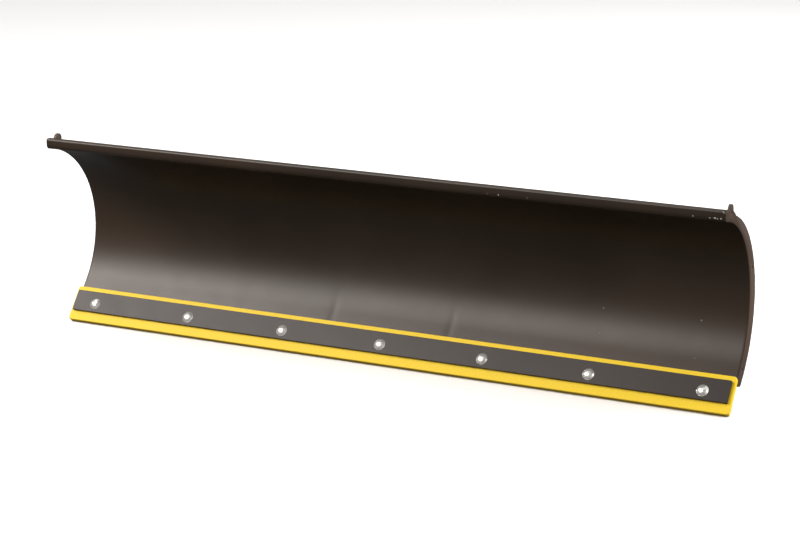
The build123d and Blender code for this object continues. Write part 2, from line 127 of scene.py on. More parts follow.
floor = plain_floor(30.0, (0.93, 0.93, 0.93))
floor.visible_glossy = False
floor.visible_diffuse = False
world = bpy.data.worlds.new("studio")
world.use_nodes = True
backdrop = world.node_tree.nodes["Background"]
backdrop.inputs["Color"].default_value = (1.0, 1.0, 1.0, 1.0)
backdrop.inputs["Strength"].default_value = 0.16
scene.world = world

overhead = lamp("overhead", "SUN", 1.6, (0.10, -0.12, -0.98))
overhead.angle = radians(60)           # fills a wide part of the sky, so shadows are soft
WARM = (1.0, 0.94, 0.885)
soft_box("left_soft_box", (-3.9, -2.4, 3.9), (-0.6, 0.0, 0.1), (1.5, 1.8), 165.0, WARM)
soft_box("wide_soft_box", (-2.2, -3.4, 3.1), (0.0, 0.0, 0.15), (3.6, 1.9), 185.0, WARM)
soft_box("back_soft_box", (2.6, 3.2, 2.4), (0.0, 0.1, 0.2), (3.0, 2.0), 200.0)
soft_box("right_soft_box", (4.4, -0.5, 1.1), (0.7, 0.0, 0.2), (1.6, 1.6), 150.0, WARM)
print("floor, world and five lamps are in")

# %% [markdown]
# Geometry Nodes trees and shaders are both built in code here. `Nodes` adds a node and links it,
# `Recipe` is a Geometry Nodes tree whose `size` makes a named input, and `grow` runs a tree on an
# object with the values it is given and keeps the result as a plain mesh.

# %% Helpers for Geometry Nodes
SIZE_KINDS = {float: "NodeSocketFloat", int: "NodeSocketInt", Vector: "NodeSocketVector",
              bpy.types.Material: "NodeSocketMaterial", bpy.types.Object: "NodeSocketObject"}


class Nodes:
    """A node tree under construction."""

    def __init__(self, tree):
        self.tree = tree

    def add(self, kind, links=None, out=0, **settings):
        """Adds a node, sets its properties, feeds its inputs, and returns one output socket."""
        node = self.tree.nodes.new(kind)
        for key, value in settings.items():
            setattr(node, key, value)
        for key, value in (links or {}).items():
            if isinstance(value, (bpy.types.NodeSocket, list)):
                for socket in (value if isinstance(value, list) else [value]):
                    self.tree.links.new(socket, node.inputs[key])
            else:
                node.inputs[key].default_value = value
        return node.outputs[out]


class Recipe(Nodes):
    """A Geometry Nodes tree with named sizes."""

    def __init__(self, name):
        super().__init__(bpy.data.node_groups.new(name, "GeometryNodeTree"))
        for side in ("INPUT", "OUTPUT"):
            self.tree.interface.new_socket("Geometry", in_out=side, socket_type="NodeSocketGeometry")
        self.start = self.tree.nodes.new("NodeGroupInput")
        self.end = self.tree.nodes.new("NodeGroupOutput")

    def size(self, name, kind=float):
        """A named input of the tree; returns the socket that carries it."""
        self.tree.interface.new_socket(name, in_out="INPUT", socket_type=SIZE_KINDS[kind])
        return self.start.outputs[name]

    def math(self, operation, *values):
        return self.add("ShaderNodeMath", dict(enumerate(values)), operation=operation)

    def vector(self, x=0.0, y=0.0, z=0.0):
        return self.add("ShaderNodeCombineXYZ", {0: x, 1: y, 2: z})

    def vector_sum(self, first, second, operation="ADD"):
        return self.add("ShaderNodeVectorMath", {0: first, 1: second}, operation=operation)

    def scaled(self, vector, factor):
        return self.add("ShaderNodeVectorMath", {0: vector, "Scale": factor}, operation="SCALE")

    def jitter(self, noise, depth):
        """Turns a noise's colour into a push of up to half the depth each way."""
        return self.scaled(self.vector_sum(noise, (0.5, 0.5, 0.5), "SUBTRACT"), depth)

    def attribute(self, name, kind="FLOAT_VECTOR"):
        return self.add("GeometryNodeInputNamedAttribute", {"Name": name}, data_type=kind)

    def random(self, low, high, seed):
        links = {2: low, 3: high, "Seed": seed}
        return self.add("FunctionNodeRandomValue", links, out=1, data_type="FLOAT")

    def finish(self, shape, material):
        """Real geometry and its material are the last two steps of every tree."""
        real = self.add("GeometryNodeRealizeInstances", {0: shape})
        painted = self.add("GeometryNodeSetMaterial", {"Geometry": real, "Material": material})
        self.tree.links.new(painted, self.end.inputs[0])
        return self.tree


def new_object(name, mesh=None):
    item = bpy.data.objects.new(name, mesh or bpy.data.meshes.new(name))
    scene.collection.objects.link(item)
    return item


def grow(name, tree, values, start=None):
    """Runs a tree with named values on a new object and keeps the plain mesh."""
    maker = new_object(name + "_maker", start)
    modifier = maker.modifiers.new("recipe", "NODES")
    modifier.node_group = tree
    for socket in tree.interface.items_tree:
        if socket.in_out == "INPUT" and socket.name in values:
            modifier[socket.identifier] = values[socket.name]
    ready = maker.evaluated_get(bpy.context.evaluated_depsgraph_get())
    mesh = bpy.data.meshes.new_from_object(ready)
    mesh.name = name
    bpy.data.objects.remove(maker)
    return new_object(name, mesh)


def smooth(item, angle=radians(35)):
    """Smooth shading with sharp edges kept above an angle."""
    for polygon in item.data.polygons:
        polygon.use_smooth = True
    item.data.set_sharp_from_angle(angle=angle)
    return item


def soften(item, width, segments=2, angle=radians(35)):
    """A small bevel on every sharp edge, applied, so that edges catch the light."""
    bevel = item.modifiers.new("edge", "BEVEL")
    bevel.width, bevel.segments, bevel.limit_method, bevel.angle_limit = width, segments, "ANGLE", angle
    ready = item.evaluated_get(bpy.context.evaluated_depsgraph_get())
    mesh = bpy.data.meshes.new_from_object(ready)
    item.modifiers.clear()
    old, item.data = item.data, mesh
    bpy.data.meshes.remove(old)
    return smooth(item, radians(40))


def triangles(item):
    return sum(len(polygon.vertices) - 2 for polygon in item.data.polygons)


def place(item, body, stands_for=(), slot=None, material=None):
    """Hands a finished piece to the frame and prints its name, size and body."""
    if material is not None:
        item.data.materials.clear()
        item.data.materials.append(material)
    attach(item, body)
    if stands_for:
        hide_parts(*stands_for)
    print(f"{item.name}: {triangles(item)} triangles on {body}")


def middle(node):
    """The centre of a CAD node's box."""
    low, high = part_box(node)
    return (low + high) / 2


print("helpers are ready")

# %% [markdown]
# Every finish is a small shader built from noise in object coordinates, so it stays put when a
# piece turns. Powder coat is melted plastic: nearly smooth, with a fine orange-peel ripple. It is
# made here once and tuned for the rolled sheet, the strip and the cut plates.


# %% Helpers for materials
class Finish(Nodes):
    """A material whose nodes are added one by one around a Principled shader."""

    def __init__(self, name, colour, roughness, metallic=0.0):
        self.material = bpy.data.materials.new(name)
        self.material.use_nodes = True
        super().__init__(self.material.node_tree)
        self.shader = self.tree.nodes["Principled BSDF"]
        self.shader.inputs["Base Color"].default_value = (*colour, 1.0)
        self.shader.inputs["Roughness"].default_value = roughness
        self.shader.inputs["Metallic"].default_value = metallic
        self.place = self.add("ShaderNodeTexCoord", out="Object")
        self.height = None

    def stretched(self, scale):
        """Object coordinates scaled along each axis, for grain that runs one way."""
        return self.add("ShaderNodeMapping", {"Vector": self.place, "Scale": scale})

    def noise(self, scale, detail=2.0, place=None, roughness=0.5):
        return self.add("ShaderNodeTexNoise", {
            "Vector": place or self.place, "Scale": scale, "Detail": detail, "Roughness": roughness})

    def ramp(self, factor, stops):
        """Maps a 0-1 factor through (position, grey or colour) stops."""
        tones = self.add("ShaderNodeValToRGB", {0: factor}, out="Color")
        points = tones.node.color_ramp.elements
        while len(points) < len(stops):
            points.new(0.5)
        for point, (position, tone) in zip(points, stops):
            point.position = position
            point.color = (tone, tone, tone, 1.0) if isinstance(tone, float) else (*tone, 1.0)
        return tones

    def mix(self, factor, low, high):
        """Blends two colours, each a tuple or a socket."""
        low, high = ((*tone, 1.0) if isinstance(tone, tuple) else tone for tone in (low, high))
        return self.add("ShaderNodeMix", {0: factor, 6: low, 7: high}, out=2, data_type="RGBA")

    def feed(self, name, socket):
        self.tree.links.new(socket, self.shader.inputs[name])

    def bump(self, height, strength, distance):
        """Adds a layer of relief on top of the ones before it."""
        links = {"Height": height, "Strength": strength, "Distance": distance}
        if self.height is not None:
            links["Normal"] = self.height
        self.height = self.add("ShaderNodeBump", links)
        self.feed("Normal", self.height)


print("material helpers are ready")

# %% [markdown]
# The powder coat is a brown black. Fine ripple, a slow drift in colour and gloss, and faint
# handling marks keep it from looking like a flat fill.


# %% Powder coat
def powder_coat(name, colour, roughness, gleam=0.38, ripple=0.35, mottling=0.18):
    """Satin black coat with orange peel; mottling is how far the colour drifts."""
    coat = Finish(name, colour, roughness)
    drift = coat.noise(3.1, 3.0)
    pale = tuple(channel * (1 + mottling) + 0.002 for channel in colour)
    deep = tuple(channel * (1 - mottling) for channel in colour)
    coat.feed("Base Color", coat.mix(coat.ramp(drift, [(0.35, 0.0), (0.65, 1.0)]), deep, pale))
    wear = coat.noise(24.0, 4.0)
    gloss = coat.ramp(wear, [(0.3, roughness - 0.012), (0.7, roughness + 0.016)])
    coat.feed("Roughness", gloss)
    coat.bump(coat.noise(420.0, 2.0), ripple, 0.00008)
    coat.bump(coat.noise(1500.0, 1.0), ripple / 2, 0.00003)
    coat.shader.inputs["Specular IOR Level"].default_value = gleam
    return coat.material


sheet_coat = powder_coat("sheet_coat", (0.0290, 0.0180, 0.0110), 0.40)
plate_coat = powder_coat("plate_coat", (0.0520, 0.0330, 0.0220), 0.48)
strip_coat = powder_coat("strip_coat", (0.0220, 0.0165, 0.0140), 0.44, 0.30)
print("three powder coats")

# %% [markdown]
# The wear bar is yellow plastic, dyed through, cut from a sheet. Its face is slightly mottled and
# its sawn edges are rougher. Its lower edge is painted darker, partly the saw's brown and partly
# painted shade where the edge faces down. The zinc on the fasteners is bright and a little cloudy;
# the skid shoes are plain steel that has begun to dull.


# %% Plastic, zinc and steel
def sawn_plastic():
    """Dyed through; the attribute `sawn` darkens the torn lower edge, partly as painted shade."""
    plastic = Finish("sawn_plastic", (0.80, 0.55, 0.06), 0.5)
    patches = plastic.noise(260.0, 4.0)
    share = plastic.ramp(patches, [(0.3, 0.0), (0.75, 1.0)])
    tone = plastic.mix(share, (0.74, 0.52, 0.012), (0.81, 0.58, 0.022))
    # The sawn lower edge is painted darker: partly the saw's brown, partly painted shade.
    sawn = plastic.add("ShaderNodeAttribute", out="Fac", attribute_name="sawn")
    burr = plastic.ramp(plastic.noise(500.0, 3.0), [(0.35, 0.35), (0.65, 1.0)])
    cut = plastic.add("ShaderNodeMath", {0: sawn, 1: burr}, operation="MULTIPLY")
    plastic.feed("Base Color", plastic.mix(cut, tone, (0.50, 0.31, 0.03)))
    plastic.feed("Roughness", plastic.ramp(patches, [(0.3, 0.42), (0.7, 0.6)]))
    saw = plastic.noise(1.0, 3.0, plastic.stretched((1500.0, 60.0, 60.0)))
    plastic.bump(saw, 0.25, 0.0002)
    plastic.bump(plastic.noise(900.0, 2.0), 0.3, 0.0001)
    plastic.shader.inputs["Specular IOR Level"].default_value = 0.25
    return plastic.material


def zinc_plate(name, colour, roughness, metal=1.0, dents=0.0):
    """Cloudy plated metal; dents is how strongly tumbling has marked it."""
    zinc = Finish(name, colour, roughness, metal)
    cloud = zinc.noise(180.0, 4.0)
    zinc.feed("Roughness", zinc.ramp(cloud, [(0.3, roughness - 0.08), (0.7, roughness + 0.12)]))
    dull = tuple(channel * 0.78 for channel in colour)
    zinc.feed("Base Color", zinc.mix(zinc.ramp(cloud, [(0.3, 0.0), (0.75, 1.0)]), colour, dull))
    zinc.bump(zinc.noise(330.0, 1.0), dents, 0.0008)
    zinc.bump(zinc.noise(1300.0, 2.0), 0.3, 0.00005)
    return zinc.material


poly = sawn_plastic()
bolt_zinc = zinc_plate("bolt_zinc", (0.92, 0.92, 0.87), 0.30, 0.80, 0.6)
zinc = zinc_plate("zinc", (0.78, 0.78, 0.76), 0.34, 0.9, 0.05)
spring_wire = zinc_plate("spring_wire", (0.70, 0.68, 0.62), 0.3)
shoe_steel = zinc_plate("shoe_steel", (0.40, 0.385, 0.37), 0.45)
print("plastic, zinc, wire and shoe steel")

# %% [markdown]
# ## The moldboard
# The sheet goes through three rollers that give it one radius, and a press brake folds the lip
# along its top. The same rule makes it here: an outline of the sheet's section, drawn with
# straight lines and arcs, is laid along the width by a Geometry Nodes tree.

# %% The section of the sheet
SHEET = 3.0 * MM
ROLL_RADIUS = 198.6 * MM
FOOT_TANGENT = 107.5 * MM          # up the foot, from the heel to the start of the roll
ROLL_TOP = radians(81.0)
LIP_LOW_BEND = 9.0 * MM            # from the roll up into the lip, radius at mid-thickness
LIP_BEND = 3.0 * MM                # from the lip into its return
LIP_RETURN = 8.0 * MM
FOOT_STEPS = 12
ROLL_STEPS = 84
BEND_STEPS = 9


def foot_point(up, out):
    """Y and Z of a point up the foot from the heel and out to the front of the sheet's face."""
    y = HEEL_Y + up * sin(FOOT_LEAN) - out * cos(FOOT_LEAN)
    return Vector((y, up * cos(FOOT_LEAN) + out * sin(FOOT_LEAN)))


ROLL_CENTRE = foot_point(FOOT_TANGENT, ROLL_RADIUS)
LIP_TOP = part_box("moldboard")[1].z


def arc(centre, radius, start, end, steps):
    """Points on an arc, each with the direction from its centre."""
    angles = [start + (end - start) * i / steps for i in range(steps + 1)]
    rays = [Vector((cos(a), sin(a))) for a in angles]
    return [(centre + ray * radius, ray) for ray in rays]


def sheet_middle_line():
    """Mid-thickness points from the foot to the end of the return, with the direction to the back."""
    back = Vector((cos(FOOT_LEAN), -sin(FOOT_LEAN)))
    ups = [FOOT_LOW + (FOOT_TANGENT - FOOT_LOW) * i / FOOT_STEPS for i in range(FOOT_STEPS)]
    line = [(foot_point(up, -SHEET / 2), back) for up in ups]
    line += arc(ROLL_CENTRE, ROLL_RADIUS + SHEET / 2, -FOOT_LEAN, ROLL_TOP, ROLL_STEPS)
    end, ray = line[-1]
    fold = end + ray * LIP_LOW_BEND
    bend = arc(fold, LIP_LOW_BEND, ROLL_TOP + pi, pi, BEND_STEPS)
    line += [(point, -ray) for point, ray in bend[1:]]
    upper = Vector((fold.x - LIP_LOW_BEND + LIP_BEND, LIP_TOP - SHEET / 2 - LIP_BEND))
    line += [(point, -ray) for point, ray in arc(upper, LIP_BEND, pi, pi / 2, BEND_STEPS)]
    line.append((upper + Vector((LIP_RETURN, LIP_BEND)), Vector((0.0, -1.0))))
    return line


middle_line = sheet_middle_line()
front = [point - back * SHEET / 2 for point, back in middle_line]
rear = [point + back * SHEET / 2 for point, back in middle_line]
print("section of", len(front), "points a side, up to z =", max(point.y for point in rear))

# %% [markdown]
# The sheet, the wear bar and the flat bars are each one section repeated along the blade. One tree
# does them all. The section is a strip of quads whose vertices run round its outline; a grid takes
# its rows from the outline and its columns from a list of stations, and two copies of the strip
# close the ends. Attributes on the section say how each row answers to corners, heat and sawing;
# the saw mask also darkens a sawn edge in colour, partly as painted shade.


# %% The recipe that lays a section along the blade
TEAR_SCALE = 700.0                 # noise that tears a sawn edge, cells to the metre


def laid_section():
    r = Recipe("laid_section")
    section = r.start.outputs["Geometry"]
    station_object = r.size("Stations", bpy.types.Object)
    crease_x, crease_width, crease_depth = r.size("Crease X"), r.size("Crease Width"), r.size("Crease Depth")
    wave_scale, wave_depth, saw_depth = r.size("Wave Scale"), r.size("Wave Depth"), r.size("Saw Depth")
    material = r.size("Material", bpy.types.Material)

    stations = r.add("GeometryNodeObjectInfo", {"Object": station_object}, out="Geometry")
    rows = r.add("GeometryNodeAttributeDomainSize", {"Geometry": section}, out="Point Count")
    columns = r.add("GeometryNodeAttributeDomainSize", {"Geometry": stations}, out="Point Count")
    around = r.math("ADD", rows, 1.0)
    index = r.add("GeometryNodeInputIndex")
    position = r.add("GeometryNodeInputPosition")

    def sampled(shape, value, at):
        links = {"Geometry": shape, "Value": value, "Index": at}
        return r.add("GeometryNodeSampleIndex", links, data_type="FLOAT_VECTOR")

    def parts(vector):
        split = r.add("ShaderNodeSeparateXYZ", {0: vector}).node
        return split.outputs[0], split.outputs[1], split.outputs[2]

    def noise(scale, at):
        links = {"Vector": at, "Scale": scale, "Detail": 2.0}
        return r.add("ShaderNodeTexNoise", links, out="Color")

    def laid(row, column):
        """Where a row of the section comes to lie at a station."""
        x, inset, _ = parts(sampled(stations, position, column))
        _, y, z = parts(sampled(section, position, row))
        crease, wave, saw = parts(sampled(section, r.attribute("masks"), row))
        back = sampled(section, r.attribute("back"), row)
        inward = sampled(section, r.attribute("inward"), row)
        place = r.vector(x, y, z)
        off = r.math("DIVIDE", r.math("SUBTRACT", r.math("ABSOLUTE", x), crease_x), crease_width)
        heat = r.math("EXPONENT", r.math("MULTIPLY", r.math("MULTIPLY", off, off), -1.0))
        pull = r.math("MULTIPLY", r.math("MULTIPLY", heat, crease_depth), crease)
        drift, _, _ = parts(noise(wave_scale, place))
        sway = r.math("MULTIPLY", r.math("MULTIPLY", r.math("SUBTRACT", drift, 0.5), wave_depth), wave)
        torn = r.jitter(noise(TEAR_SCALE, place), r.math("MULTIPLY", saw, saw_depth))
        where = r.vector_sum(place, r.scaled(inward, inset))
        where = r.vector_sum(where, r.scaled(back, r.math("ADD", pull, sway)))
        return r.vector_sum(where, torn), saw

    def set_down(shape, row, column):
        """Moves the points and keeps the saw mask on them; it darkens a sawn edge, partly as painted shade.
        """
        where, saw = laid(row, column)
        links = {"Geometry": shape, "Name": "sawn", "Value": saw}
        marked = r.add("GeometryNodeStoreNamedAttribute", links, data_type="FLOAT", domain="POINT")
        return r.add("GeometryNodeSetPosition", {"Geometry": marked, "Position": where})

    grid = r.add("GeometryNodeMeshGrid", {"Vertices X": columns, "Vertices Y": around})
    column = r.math("FLOOR", r.math("DIVIDE", index, around))
    row = r.math("MODULO", r.math("MODULO", index, around), rows)
    shapes = [set_down(grid, row, column)]
    shapes += [set_down(section, index, end) for end in (0, r.math("SUBTRACT", columns, 1.0))]
    joined = r.add("GeometryNodeJoinGeometry", {"Geometry": shapes})
    merged = r.add("GeometryNodeMergeByDistance", {"Geometry": joined, "Distance": 0.00002})
    return r.finish(merged, material)


def section_strip(name, front_side, rear_side, backs, inwards, masks):
    """Quads between matching front and rear points; vertices run round the outline."""
    count = len(front_side)
    mesh = bpy.data.meshes.new(name)
    outline = front_side + rear_side[::-1]
    quads = [(i, i + 1, 2 * count - 2 - i, 2 * count - 1 - i) for i in range(count - 1)]
    mesh.from_pydata([(0.0, p.x, p.y) for p in outline], [], quads)
    for key, values in (("back", backs), ("inward", inwards), ("masks", masks)):
        both = values + values[::-1]
        layer = mesh.attributes.new(key, "FLOAT_VECTOR", "POINT")
        layer.data.foreach_set("vector", [number for value in both for number in value])
    return mesh


def stations_along(name, half, pitch, corner=0.0, corner_steps=6):
    """Places along X, closer together round the corners, each with its corner inset in Y."""
    inner = half - corner
    count = round(2 * inner / pitch)
    spots = [(inner * (2 * i / count - 1), 0.0, 0.0) for i in range(count + 1)]
    if corner:
        turns = [pi / 2 * i / corner_steps for i in range(1, corner_steps + 1)]
        ends = [(inner + corner * sin(turn), corner * (1 - cos(turn)), 0.0) for turn in turns]
        spots = [(-x, inset, z) for x, inset, z in reversed(ends)] + spots + ends
    mesh = bpy.data.meshes.new(name)
    mesh.from_pydata(spots, [], [])
    return new_object(name, mesh)


def outward(item):
    """Points every face of a closed mesh outwards."""
    work = bmesh.new()
    work.from_mesh(item.data)
    bmesh.ops.recalc_face_normals(work, faces=work.faces)
    work.to_mesh(item.data)
    work.free()
    return item


laid_tree = laid_section()
NO_RELIEF = {"Crease X": 0.0, "Crease Width": 1.0, "Crease Depth": 0.0, "Wave Scale": 1.0,
             "Wave Depth": 0.0, "Saw Depth": 0.0}


def lay(name, section, stations, material, **relief):
    """Runs the recipe, removes the list of stations and closes the piece."""
    sizes = {key.replace("_", " "): value for key, value in relief.items()}
    item = grow(name, laid_tree, {**NO_RELIEF, **sizes, "Stations": stations, "Material": material}, section)
    bpy.data.objects.remove(stations)
    return outward(item)


print("the laid-section recipe has", len(laid_tree.nodes), "nodes")

# %% [markdown]
# Two things give a welded and rolled sheet away. The heat of the centre ribs' welds pulls a shallow
# vertical crease that shows on the working face, and the roll is never perfectly even, so
# reflections wander. Both are pushed along the sheet's own thickness, so it stays 3 mm thick.

# %% Moldboard
SHEET_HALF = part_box("moldboard")[1].x
PIVOT_RIB_X = middle("pivot_rib_right").x
CREASE_FULL = 0.105                # the crease is full up to this height
CREASE_GONE = 0.165
WAVE_LOW = 0.09                    # the roll waves from here up to just under the lip
WAVE_HIGH = LIP_TOP - 0.03


def fade(value, full, gone):
    """Falls smoothly from 1 at `full` to 0 at `gone`."""
    share = min(1.0, max(0.0, (gone - value) / (gone - full)))
    return share * share * (3 - 2 * share)


def sheet_masks():
    """How far each row of the sheet answers to the crease and to the waves; none is sawn."""
    roll = [i for i, (point, _) in enumerate(middle_line) if WAVE_LOW < point.y < WAVE_HIGH]
    masks = []
    for i, (point, _) in enumerate(middle_line):
        free = sin(pi * (i - roll[0]) / (roll[-1] - roll[0])) if roll[0] <= i <= roll[-1] else 0.0
        masks.append((fade(point.y, CREASE_FULL, CREASE_GONE), max(0.0, free), 0.0))
    print("sheet:", len(masks), "rows,", len(roll), "of them free to wave")
    return masks


backs = [(0.0, back.x, back.y) for _, back in middle_line]
still = [(0.0, 0.0, 0.0)] * len(middle_line)
sheet_section = section_strip("sheet_section", front, rear, backs, still, sheet_masks())
moldboard = lay("rolled_moldboard", sheet_section, stations_along("sheet_stations", SHEET_HALF, 5 * MM),
                sheet_coat, Crease_X=PIVOT_RIB_X, Crease_Width=7 * MM, Crease_Depth=0.55 * MM,
                Wave_Scale=1.6, Wave_Depth=0.12 * MM)
soften(moldboard, 0.4 * MM, 2, radians(50))
place(moldboard, "blade", ["moldboard"], "black_coat")

# %% [markdown]
# The wear bar and the two flat bars are rectangles with broken edges. The same recipe lays them;
# the wear bar's ends are rounded by letting the section shrink over the last few millimetres, and
# its sawn lower edge is torn by a fine noise.


# %% Wear bar, retainer strip and backing bar
# The same share of the sawn edge's darker colour, partly painted shade, reaches the rest of the bar.
FACE_SAW = 0.12                      # how much of the tear reaches the rest of the section


def bar_section(name, low, height, out, thick, edge, saw=0.0):
    """A flat bar's section on the foot; the front edges are broken by `edge`."""
    count = max(3, round(height / (8 * MM)))
    between = [edge + (height - 2 * edge) * i / count for i in range(1, count)]
    ups = [0.0, edge, *between, height - edge, height]
    fronts, rears, inwards, masks = [], [], [], []
    up_way = Vector((sin(FOOT_LEAN), cos(FOOT_LEAN)))
    for up in ups:
        broken = edge if up in (0.0, height) else 0.0
        fronts.append(foot_point(low + up, out + thick - broken))
        rears.append(foot_point(low + up, out))
        share = 1 - 2 * up / height
        inwards.append((0.0, up_way.x * share, up_way.y * share))
        masks.append((0.0, 0.0, saw if up == 0.0 else FACE_SAW * saw))
    flat = [(0.0, cos(FOOT_LEAN), -sin(FOOT_LEAN))] * len(ups)
    return section_strip(name, fronts, rears, flat, inwards, masks)


WEAR_HEIGHT = 80.5 * MM
WEAR_CORNER = 5.0 * MM
STRIP_HEIGHT = 47.7 * MM
BACKING_HEIGHT = 38.0 * MM
BACKING_THICK = 5.0 * MM
BOLT_UP = WEAR_HEIGHT / 2            # the bar can be turned over, so its holes are on its centre
STRIP_MIDDLE = FOOT_LOW + STRIP_HEIGHT / 2

def flat_bar(name, node, slot, material, section, pitch, corner=0.0, saw_depth=0.0):
    stations = stations_along(name + "_stations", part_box(node)[1].x, pitch, corner)
    bar = lay(name, section, stations, material, Saw_Depth=saw_depth)
    place(smooth(bar, radians(30)), "blade", [node], slot)


wear_section = bar_section("wear_section", 0.0, WEAR_HEIGHT, 0.0, WEAR_THICK, 1.2 * MM, 1.0)
strip_section = bar_section("strip_section", FOOT_LOW, STRIP_HEIGHT, WEAR_THICK, STRIP_THICK, 0.5 * MM)
backing_section = bar_section("backing_section", STRIP_MIDDLE - BACKING_HEIGHT / 2, BACKING_HEIGHT,
                              -SHEET - BACKING_THICK, BACKING_THICK, 0.5 * MM)
flat_bar("sawn_wear_bar", "wear_bar", "yellow_poly", poly, wear_section, 3 * MM, WEAR_CORNER, 0.5 * MM)
flat_bar("coated_retainer_strip", "retainer_strip", "strip_coat", strip_coat, strip_section,
         20 * MM, 1.5 * MM)
flat_bar("coated_backing_bar", "backing_bar", "black_coat", plate_coat, backing_section, 20 * MM)

# %% [markdown]
# Ribs, brackets and the spring anchor are plate cut by laser and bent. Their outlines are already
# right in the CAD model, so a merged copy gets a small round on each sharp edge, as powder coat
# leaves it, and nothing else. Without that round a black edge catches no light at all.


# %% Plates
def plate_copy(node, name, edge=0.45 * MM):
    """A merged copy of a CAD node with its sharp edges rounded over."""
    work = bmesh.new()
    work.from_mesh(nodes[node].data)
    bmesh.ops.remove_doubles(work, verts=work.verts, dist=0.002 * MM)
    bmesh.ops.dissolve_limit(work, angle_limit=radians(0.5), verts=work.verts, edges=work.edges)
    work.verts.index_update()
    mesh = bpy.data.meshes.new(name)
    mesh.from_pydata([v.co[:] for v in work.verts], [], [[v.index for v in f.verts] for f in work.faces])
    work.free()
    return soften(new_object(name, mesh), edge)


PLATES = ("end_rib", "mid_rib", "skid_rib", "pivot_rib", "pivot_boss", "skid_bracket")
for node in [f"{kind}_{side}" for side in ("right", "left") for kind in PLATES] + ["spring_anchor"]:
    place(plate_copy(node, "coated_" + node), "blade", [node], "black_coat", plate_coat)

# %% [markdown]
# Bolts, washers and nuts are turned or forged round things, so each is one profile spun about its
# axis. One is made at the origin and a tree sets it down along the bolt row, each with its own
# turn, as a fitter leaves them. The thread is rings at the thread's pitch, which at this size
# can't be told from a helix.


# %% Turned shapes
def turned(name, profile, steps=48, closed=False):
    """Spins (radius, height) points about Z. A closed profile is a ring such as a washer."""
    points = len(profile)
    verts = [(radius * cos(2 * pi * i / steps), radius * sin(2 * pi * i / steps), height)
             for i in range(steps) for radius, height in profile]
    pairs = [(j, (j + 1) % points) for j in range(points if closed else points - 1)]
    faces = []
    for i in range(steps):
        here, after = i * points, (i + 1) % steps * points
        faces += [(here + j, after + j, after + k, here + k) for j, k in pairs]
    mesh = bpy.data.meshes.new(name)
    mesh.from_pydata(verts, [], faces)
    work = bmesh.new()
    work.from_mesh(mesh)
    bmesh.ops.remove_doubles(work, verts=work.verts, dist=0.001 * MM)
    bmesh.ops.dissolve_degenerate(work, edges=work.edges, dist=0.0005 * MM)
    bmesh.ops.recalc_face_normals(work, faces=work.faces)
    work.to_mesh(mesh)
    work.free()
    return smooth(new_object(name, mesh))


def thread(radius, start, end, pitch=1.5 * MM, depth=0.45 * MM):
    """Profile points of a thread's crests and roots from one height down to another."""
    turns = int((start - end) / pitch)
    points = []
    for i in range(turns):
        top = start - i * pitch
        points += [(radius - depth, top), (radius, top - pitch * 0.4), (radius, top - pitch * 0.6)]
    return points


BOLT_RADIUS = 4.9 * MM
BOLT_HEAD_RADIUS = 12.2 * MM
BOLT_HEAD_HEIGHT = 5.4 * MM
WASHER_RADIUS = 10.0 * MM
WASHER_THICK = 2.0 * MM
NUT_FLATS = 16.0 * MM
NUT_HEX_HEIGHT = 7.5 * MM
NUT_COLLAR_HEIGHT = 2.5 * MM
NUT_COLLAR_RADIUS = 7.0 * MM
BOLT_END = 3.0 * MM
STACK_FRONT = WEAR_THICK + STRIP_THICK
STACK_BACK = SHEET + BACKING_THICK
print("bolt stack from", STACK_FRONT, "to", -STACK_BACK)


# %% [markdown]
# A carriage bolt has a low dome for a head, so that snow and gravel slide over it. The nut is a
# hexagon with its corners turned down, and a round collar on top that holds the locking nylon. Each
# profile is written in the bolt's own direction, with the face of the foot at zero.

# %% One carriage bolt, one washer, one nut
DOME_STEPS = 14


def bolt_profile():
    ball = (BOLT_HEAD_RADIUS**2 + BOLT_HEAD_HEIGHT**2) / (2 * BOLT_HEAD_HEIGHT)
    edge = asin(BOLT_HEAD_RADIUS / ball)
    rim = 0.5 * MM
    centre = STACK_FRONT + BOLT_HEAD_HEIGHT - ball
    turns = [edge * i / DOME_STEPS for i in range(DOME_STEPS)]
    dome = [(ball * sin(turn), centre + ball * cos(turn)) for turn in turns]
    under = [(BOLT_HEAD_RADIUS - 0.1 * MM, STACK_FRONT + rim), (BOLT_HEAD_RADIUS, STACK_FRONT + rim / 2),
             (BOLT_HEAD_RADIUS - 0.2 * MM, STACK_FRONT), (BOLT_RADIUS, STACK_FRONT)]
    end = -STACK_BACK - WASHER_THICK - NUT_HEX_HEIGHT - NUT_COLLAR_HEIGHT - BOLT_END
    cut = thread(BOLT_RADIUS, -STACK_BACK, end + 1 * MM)
    return dome + under + cut + [(BOLT_RADIUS - 1 * MM, end), (0.0, end)]


def washer_profile():
    hole, top, low = BOLT_RADIUS + 0.5 * MM, -STACK_BACK, -STACK_BACK - WASHER_THICK
    edge = 0.25 * MM
    return [(hole, top), (WASHER_RADIUS - edge, top), (WASHER_RADIUS, top - edge),
            (WASHER_RADIUS, low + edge), (WASHER_RADIUS - edge, low), (hole, low)]


